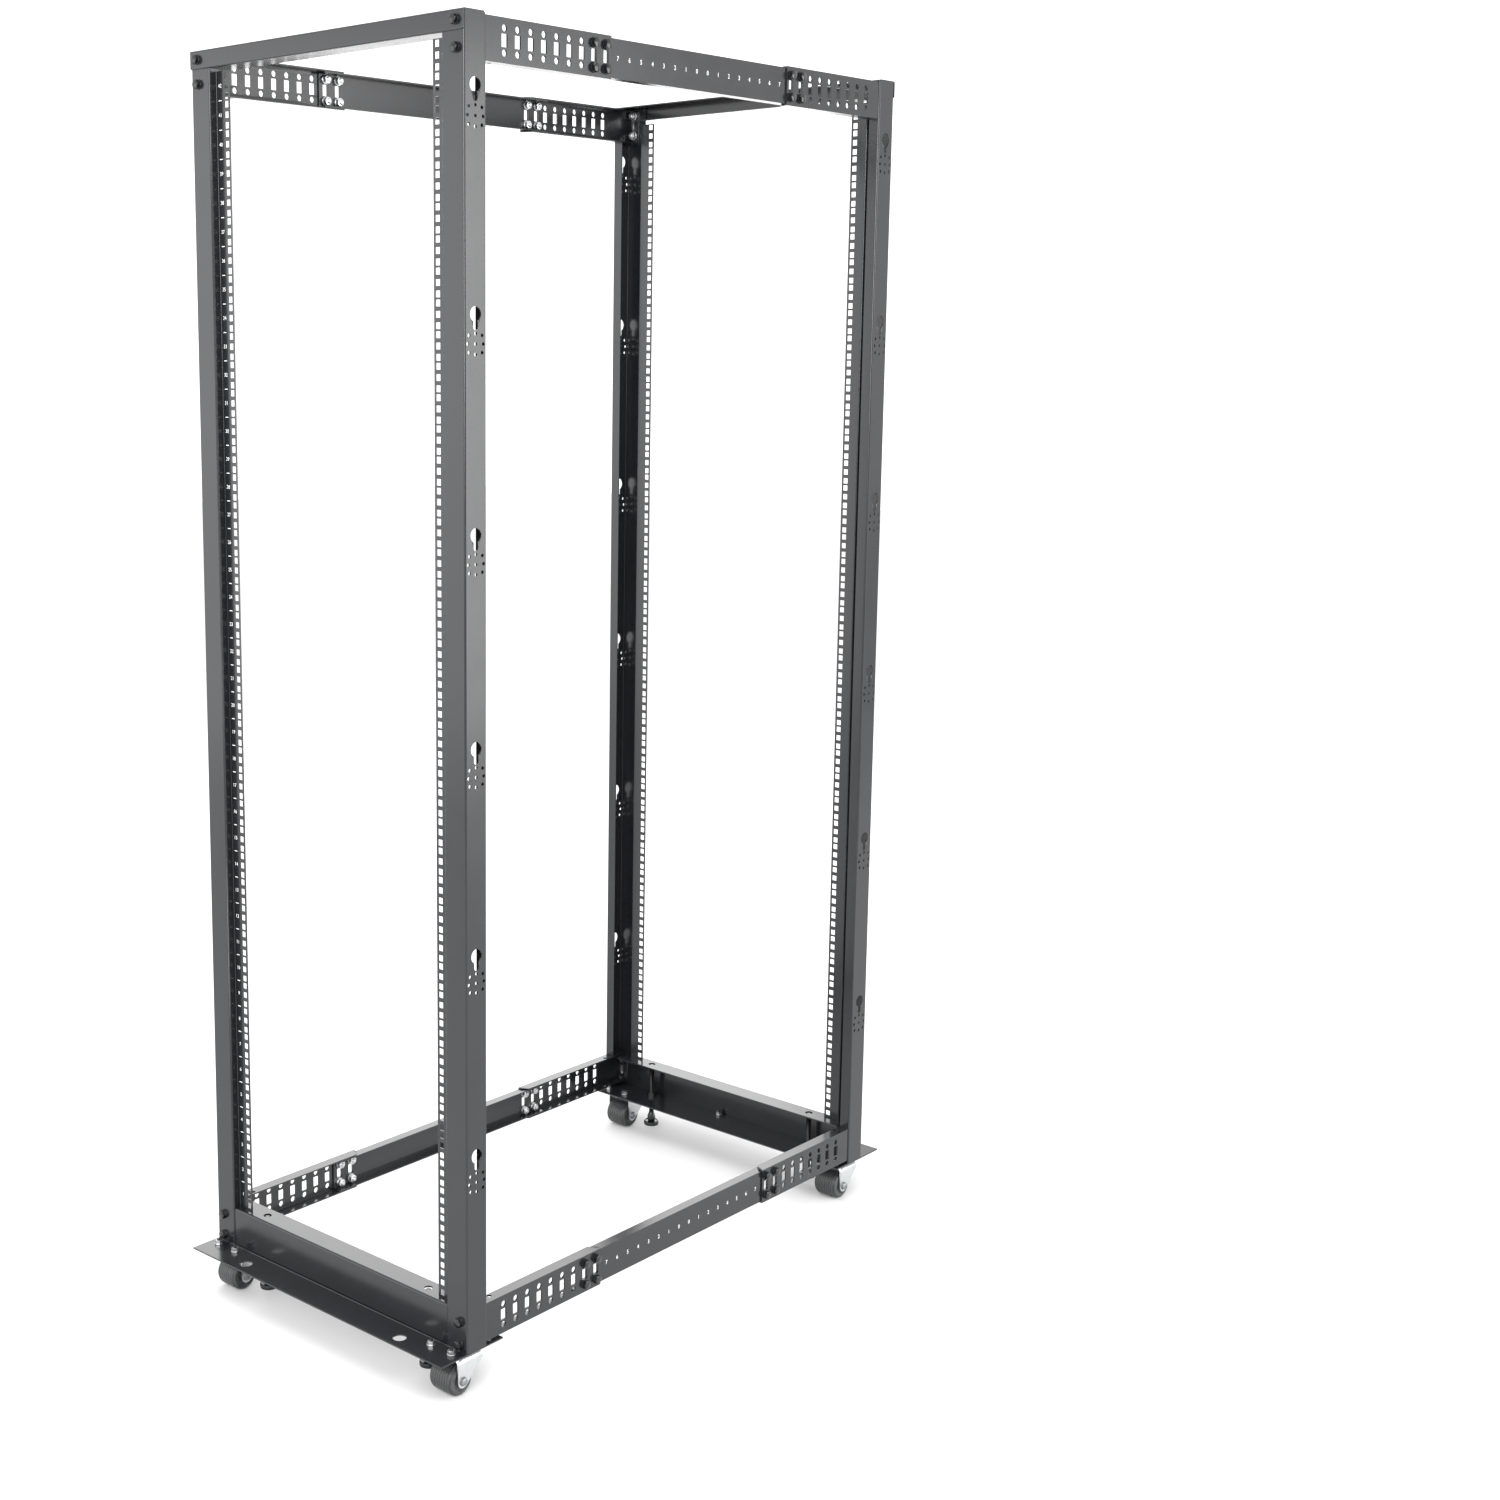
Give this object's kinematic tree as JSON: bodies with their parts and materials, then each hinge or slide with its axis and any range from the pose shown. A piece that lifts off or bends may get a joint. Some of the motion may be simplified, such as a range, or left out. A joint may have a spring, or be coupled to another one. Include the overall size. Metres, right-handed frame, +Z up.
{
  "type": "four post open frame rack",
  "caption": "Black open frame equipment rack with four folded posts, square-hole mounting flanges, adjustable side rails, levelling feet and swivel casters.",
  "frame": {"origin": "on the floor under the middle of the frame", "axes": "+X to the right seen from the front, -Y to the front, +Z up"},
  "size_m": [0.6, 1.174, 2.0435],
  "materials": {
    "black_coat": "satin black powder coat",
    "zinc_plate": "bright zinc plate",
    "dark_steel": "black oxide",
    "black_nylon": "moulded nylon"
  },
  "bodies": {
    "rack": {"front_top_bar": "black_coat", "front_base_beam": "black_coat", "rear_top_bar": "black_coat", "rear_base_beam": "black_coat", "front_left_post": "black_coat", "front_left_upper_bracket": "black_coat", "front_left_lower_bracket": "black_coat", "front_left_levelling_foot": "dark_steel", "front_left_caster_plate": "zinc_plate", "front_right_post": "black_coat", "front_right_upper_bracket": "black_coat", "front_right_lower_bracket": "black_coat", "front_right_levelling_foot": "dark_steel", "front_right_caster_plate": "zinc_plate", "rear_left_post": "black_coat", "rear_left_upper_bracket": "black_coat", "rear_left_lower_bracket": "black_coat", "rear_left_levelling_foot": "dark_steel", "rear_left_caster_plate": "zinc_plate", "rear_right_post": "black_coat", "rear_right_upper_bracket": "black_coat", "rear_right_lower_bracket": "black_coat", "rear_right_levelling_foot": "dark_steel", "rear_right_caster_plate": "zinc_plate", "left_upper_rail": "black_coat", "left_lower_rail": "black_coat", "right_upper_rail": "black_coat", "right_lower_rail": "black_coat"},
    "front_left_fork": {"front_left_caster_fork": "zinc_plate", "front_left_caster_axle": "zinc_plate"},
    "front_left_wheel": {"front_left_caster_wheel": "black_nylon"},
    "front_right_fork": {"front_right_caster_fork": "zinc_plate", "front_right_caster_axle": "zinc_plate"},
    "front_right_wheel": {"front_right_caster_wheel": "black_nylon"},
    "rear_left_fork": {"rear_left_caster_fork": "zinc_plate", "rear_left_caster_axle": "zinc_plate"},
    "rear_left_wheel": {"rear_left_caster_wheel": "black_nylon"},
    "rear_right_fork": {"rear_right_caster_fork": "zinc_plate", "rear_right_caster_axle": "zinc_plate"},
    "rear_right_wheel": {"rear_right_caster_wheel": "black_nylon"}
  },
  "joints": [
    {"name": "front_left_swivel", "type": "hinge", "parent": "rack", "child": "front_left_fork", "pos_m": [-0.259, -0.511, 0.0615], "axis": [0, 0, 1], "continuous": true},
    {"name": "front_left_roll", "type": "hinge", "parent": "front_left_fork", "child": "front_left_wheel", "pos_m": [-0.259, -0.5265, 0.0255], "axis": [1, 0, 0], "continuous": true},
    {"name": "front_right_swivel", "type": "hinge", "parent": "rack", "child": "front_right_fork", "pos_m": [0.259, -0.511, 0.0615], "axis": [0, 0, 1], "continuous": true},
    {"name": "front_right_roll", "type": "hinge", "parent": "front_right_fork", "child": "front_right_wheel", "pos_m": [0.259, -0.5265, 0.0255], "axis": [1, 0, 0], "continuous": true},
    {"name": "rear_left_swivel", "type": "hinge", "parent": "rack", "child": "rear_left_fork", "pos_m": [-0.259, 0.511, 0.0615], "axis": [0, 0, 1], "continuous": true},
    {"name": "rear_left_roll", "type": "hinge", "parent": "rear_left_fork", "child": "rear_left_wheel", "pos_m": [-0.259, 0.4955, 0.0255], "axis": [1, 0, 0], "continuous": true},
    {"name": "rear_right_swivel", "type": "hinge", "parent": "rack", "child": "rear_right_fork", "pos_m": [0.259, 0.511, 0.0615], "axis": [0, 0, 1], "continuous": true},
    {"name": "rear_right_roll", "type": "hinge", "parent": "rear_right_fork", "child": "rear_right_wheel", "pos_m": [0.259, 0.4955, 0.0255], "axis": [1, 0, 0], "continuous": true}
  ]
}
